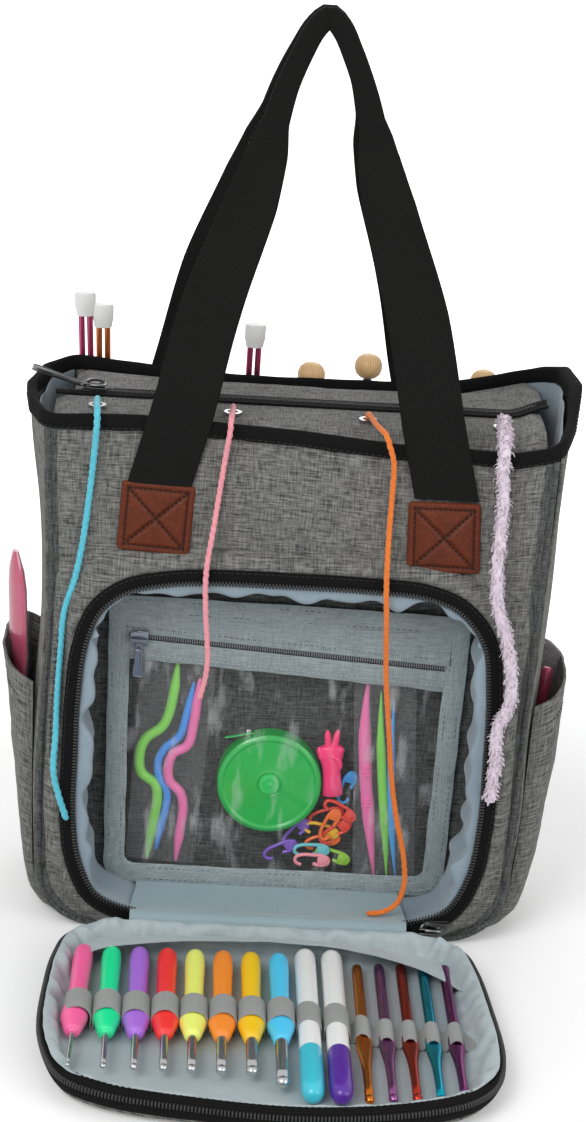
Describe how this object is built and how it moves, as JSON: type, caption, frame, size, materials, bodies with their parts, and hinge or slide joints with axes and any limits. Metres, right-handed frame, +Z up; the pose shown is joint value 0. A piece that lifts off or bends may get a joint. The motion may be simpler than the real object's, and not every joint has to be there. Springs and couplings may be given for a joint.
{
  "type": "knitting bag",
  "caption": "Upright zipped knitting bag with carrying straps, yarn eyelets in its top, a front pocket that folds down flat and an elastic band of crochet hooks and pens.",
  "frame": {"origin": "on the surface that the bag stands on, under the middle of its body", "axes": "+X to the right seen from the front, +Y to the back, +Z up; the front pocket's flap lies open towards -Y"},
  "size_m": [0.282, 0.3209, 0.4554],
  "materials": {
    "body_cloth": "heather grey woven cloth, matt, with light and dark flecks",
    "lining": "smooth pale blue-grey lining, slightly sheeny",
    "frame_cloth": "plain blue-grey binding tape",
    "black_trim": "near-black ribbed binding and zip tape",
    "webbing": "near-black ribbed webbing",
    "patch_leather": "brown leather, satin, dark stitching",
    "dark_metal": "polished dark zinc",
    "eyelet_metal": "bright nickel",
    "clear_film": "clear flexible plastic film",
    "elastic": "grey woven elastic",
    "tape_case": "translucent green plastic",
    "pen_plastic": "white plastic with a coloured lower part",
    "hook_pink": "soft moulded grip, bright metal shank",
    "hook_green": "soft moulded grip, bright metal shank",
    "hook_purple": "soft moulded grip, bright metal shank",
    "hook_red": "soft moulded grip, bright metal shank",
    "hook_lime": "soft moulded grip, bright metal shank",
    "hook_orange": "soft moulded grip, bright metal shank",
    "hook_amber": "soft moulded grip, bright metal shank",
    "hook_blue": "soft moulded grip, bright metal shank",
    "anodised_amber": "anodised, shiny",
    "anodised_plum": "anodised, shiny",
    "anodised_red": "anodised, shiny",
    "anodised_teal": "anodised, shiny",
    "yarn_turquoise": "plied yarn",
    "yarn_pink": "plied yarn",
    "yarn_orange": "plied yarn",
    "yarn_lilac": "fluffy brushed yarn"
  },
  "bodies": {
    "bag": {"front_panel": "body_cloth", "back_panel": "body_cloth", "gusset": "body_cloth", "front_piping": "black_trim", "rear_piping": "black_trim", "rim_binding": "black_trim", "opening_zip_tape": "black_trim", "pocket_surround": "body_cloth", "pocket_lining": "lining", "divider_panel": "body_cloth", "pocket_back": "lining", "clear_window": "clear_film", "window_binding": "frame_cloth", "top_panel_front": "body_cloth", "top_zip_tape_front": "black_trim", "eyelet_1": "eyelet_metal", "eyelet_2": "eyelet_metal", "eyelet_3": "eyelet_metal", "eyelet_4": "eyelet_metal", "strap_patch_front_left": "patch_leather", "strap_patch_front_right": "patch_leather", "strap_patch_rear_left": "patch_leather", "strap_patch_rear_right": "patch_leather", "side_pocket_left": "body_cloth", "side_pocket_right": "body_cloth", "rear_pocket": "body_cloth", "tape_measure": "tape_case", "yarn_turquoise": "yarn_turquoise", "yarn_pink": "yarn_pink", "yarn_orange": "yarn_orange", "yarn_lilac": "yarn_lilac"},
    "rear_lid": {"top_panel_rear": "body_cloth", "top_zip_tape_rear": "black_trim"},
    "lid_slider": {"top_zip_slider": "dark_metal"},
    "lid_pull": {"top_zip_pull": "dark_metal"},
    "window_slider": {"window_zip_slider": "dark_metal"},
    "window_pull": {"window_zip_pull": "dark_metal"},
    "front_strap": {"strap_front": "webbing"},
    "rear_strap": {"strap_rear": "webbing"},
    "flap": {"flap_panel": "body_cloth", "flap_zip_tape": "black_trim", "flap_lining": "lining", "elastic_band": "elastic", "slip_pocket": "lining"},
    "flap_slider": {"flap_zip_slider": "dark_metal"},
    "pink_hook": {"hook_pink": "hook_pink"},
    "green_hook": {"hook_green": "hook_green"},
    "purple_hook": {"hook_purple": "hook_purple"},
    "red_hook": {"hook_red": "hook_red"},
    "lime_hook": {"hook_lime": "hook_lime"},
    "orange_hook": {"hook_orange": "hook_orange"},
    "amber_hook": {"hook_amber": "hook_amber"},
    "blue_hook": {"hook_blue": "hook_blue"},
    "pen_1": {"marker_pen_1": "pen_plastic"},
    "pen_2": {"marker_pen_2": "pen_plastic"},
    "slim_1": {"slim_hook_1": "anodised_amber"},
    "slim_2": {"slim_hook_2": "anodised_plum"},
    "slim_3": {"slim_hook_3": "anodised_red"},
    "slim_4": {"slim_hook_4": "anodised_teal"},
    "slim_5": {"slim_hook_5": "anodised_plum"}
  },
  "joints": [
    {"name": "flap_fold", "type": "hinge", "parent": "bag", "child": "flap", "pos_m": [0, -0.0663, 0.012], "axis": [-1, 0, 0], "range_deg": [0, 84]},
    {"name": "rear_lid_fold", "type": "hinge", "parent": "bag", "child": "rear_lid", "pos_m": [0, 0.0502, 0.2605], "axis": [-1, 0, 0], "range_deg": [0, 60]},
    {"name": "front_strap_fall", "type": "hinge", "parent": "bag", "child": "front_strap", "pos_m": [0.0025, -0.0578, 0.2325], "axis": [1, 0, 0], "range_deg": [0, 80]},
    {"name": "rear_strap_fall", "type": "hinge", "parent": "bag", "child": "rear_strap", "pos_m": [0.0025, 0.0578, 0.2325], "axis": [-1, 0, 0], "range_deg": [0, 80]},
    {"name": "lid_zip_run", "type": "slide", "parent": "bag", "child": "lid_slider", "axis": [1, 0, 0], "range_m": [0, 0.196]},
    {"name": "lid_pull_turn", "type": "hinge", "parent": "lid_slider", "child": "lid_pull", "pos_m": [-0.1052, 0, 0.2631], "axis": [0, 1, 0], "range_deg": [0, 90]},
    {"name": "window_zip_run", "type": "slide", "parent": "bag", "child": "window_slider", "axis": [0.9982, 0, -0.0593], "range_m": [0, 0.147]},
    {"name": "window_pull_swing", "type": "hinge", "parent": "window_slider", "child": "window_pull", "pos_m": [-0.07238, -0.03, 0.13812], "axis": [0, 1, 0], "range_deg": [-60, 60]},
    {"name": "flap_zip_run", "type": "hinge", "parent": "bag", "child": "flap_slider", "pos_m": [0.069, -0.0656, 0.045], "axis": [0, -1, 0], "range_deg": [-13, 0]},
    {"name": "pink_hook_draw", "type": "slide", "parent": "flap", "child": "pink_hook", "axis": [0, -1, 0], "range_m": [0, 0.005]},
    {"name": "green_hook_draw", "type": "slide", "parent": "flap", "child": "green_hook", "axis": [0, -1, 0], "range_m": [0, 0.005]},
    {"name": "purple_hook_draw", "type": "slide", "parent": "flap", "child": "purple_hook", "axis": [0, -1, 0], "range_m": [0, 0.005]},
    {"name": "red_hook_draw", "type": "slide", "parent": "flap", "child": "red_hook", "axis": [0, -1, 0], "range_m": [0, 0.005]},
    {"name": "lime_hook_draw", "type": "slide", "parent": "flap", "child": "lime_hook", "axis": [0, -1, 0], "range_m": [0, 0.005]},
    {"name": "orange_hook_draw", "type": "slide", "parent": "flap", "child": "orange_hook", "axis": [0, -1, 0], "range_m": [0, 0.005]},
    {"name": "amber_hook_draw", "type": "slide", "parent": "flap", "child": "amber_hook", "axis": [0, -1, 0], "range_m": [0, 0.005]},
    {"name": "blue_hook_draw", "type": "slide", "parent": "flap", "child": "blue_hook", "axis": [0, -1, 0], "range_m": [0, 0.005]},
    {"name": "pen_1_draw", "type": "slide", "parent": "flap", "child": "pen_1", "axis": [0, -1, 0], "range_m": [0, 0.004]},
    {"name": "pen_2_draw", "type": "slide", "parent": "flap", "child": "pen_2", "axis": [0, -1, 0], "range_m": [0, 0.004]},
    {"name": "slim_1_draw", "type": "slide", "parent": "flap", "child": "slim_1", "axis": [0, -1, 0], "range_m": [0, 0.004]},
    {"name": "slim_2_draw", "type": "slide", "parent": "flap", "child": "slim_2", "axis": [0, -1, 0], "range_m": [0, 0.004]},
    {"name": "slim_3_draw", "type": "slide", "parent": "flap", "child": "slim_3", "axis": [0, -1, 0], "range_m": [0, 0.004]},
    {"name": "slim_4_draw", "type": "slide", "parent": "flap", "child": "slim_4", "axis": [0, -1, 0], "range_m": [0, 0.004]},
    {"name": "slim_5_draw", "type": "slide", "parent": "flap", "child": "slim_5", "axis": [0, -1, 0], "range_m": [0, 0.004]}
  ]
}
